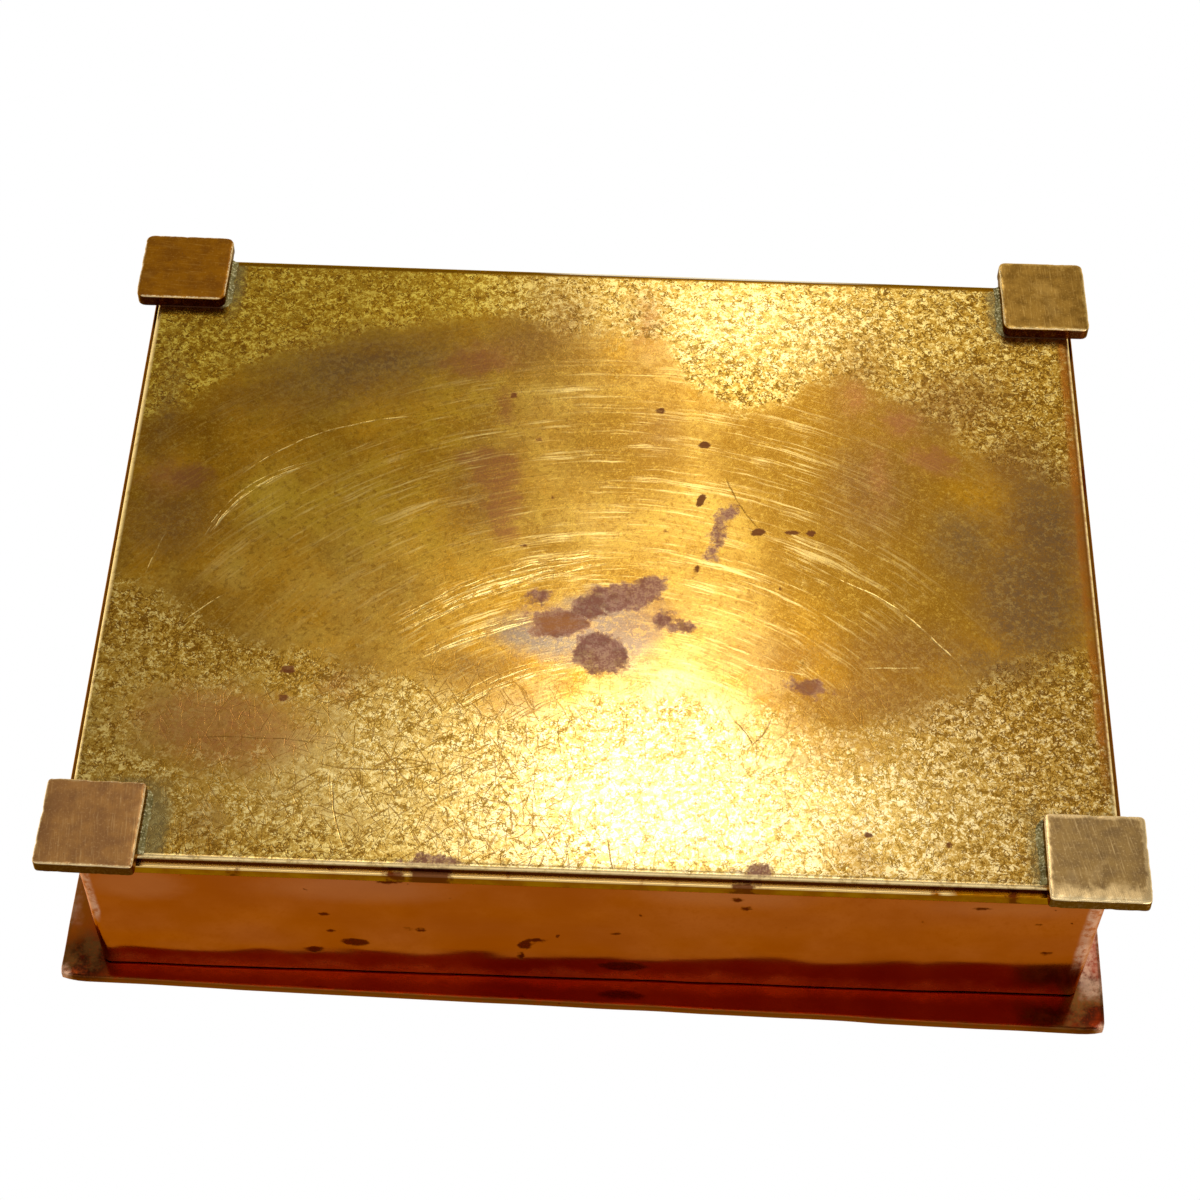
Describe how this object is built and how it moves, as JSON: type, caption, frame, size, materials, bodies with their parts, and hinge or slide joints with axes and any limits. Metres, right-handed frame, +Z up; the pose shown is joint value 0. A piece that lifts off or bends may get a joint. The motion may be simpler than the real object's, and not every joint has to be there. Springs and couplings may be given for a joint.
{
  "type": "stamp box",
  "caption": "Low hinged copper box on square brass feet, with an overhanging flat lid and curved-bottom stamp compartments inside.",
  "frame": {"origin": "middle of the footprint, on the surface that the feet stand on", "axes": "+X along the front to the right, +Y from the front to the hinge at the back, +Z up"},
  "size_m": [0.1072, 0.0834, 0.0254],
  "materials": {
    "bottom_brass": "tarnished, fine grained and scratched",
    "plate_brass": "polished, a little tarnished",
    "foot_brass": "brushed, brown patina, bright worn edges",
    "hinge_brass": "satin",
    "scoop_brass": "satin, lightly scratched",
    "foot_solder": "dull grey solder with green tarnish",
    "wall_copper": "copper, polished and slightly uneven",
    "lid_copper": "copper, polished, brown patina at the edges",
    "divider_copper": "copper, satin",
    "rivet_copper": "copper, hammered"
  },
  "bodies": {
    "box": {"bottom_sheet": "bottom_brass", "base_plate": "plate_brass", "foot_front_left": "foot_brass", "foot_front_right": "foot_brass", "foot_back_left": "foot_brass", "foot_back_right": "foot_brass", "foot_solder": "foot_solder", "wall_band": "wall_copper", "hinge_leaf_box": "hinge_brass", "hinge_pin": "hinge_brass", "box_rivets": "rivet_copper", "divider_left": "divider_copper", "divider_right": "divider_copper", "stamp_scoop_left": "scoop_brass", "stamp_scoop_middle": "scoop_brass", "stamp_scoop_right": "scoop_brass"},
    "lid": {"lid_plate": "lid_copper", "hinge_leaf_lid": "hinge_brass", "lid_rivets": "rivet_copper"}
  },
  "joints": [
    {"name": "lid_hinge", "type": "hinge", "parent": "box", "child": "lid", "pos_m": [0, 0.0375, 0.02285], "axis": [-1, 0, 0], "range_deg": [0, 100]}
  ]
}
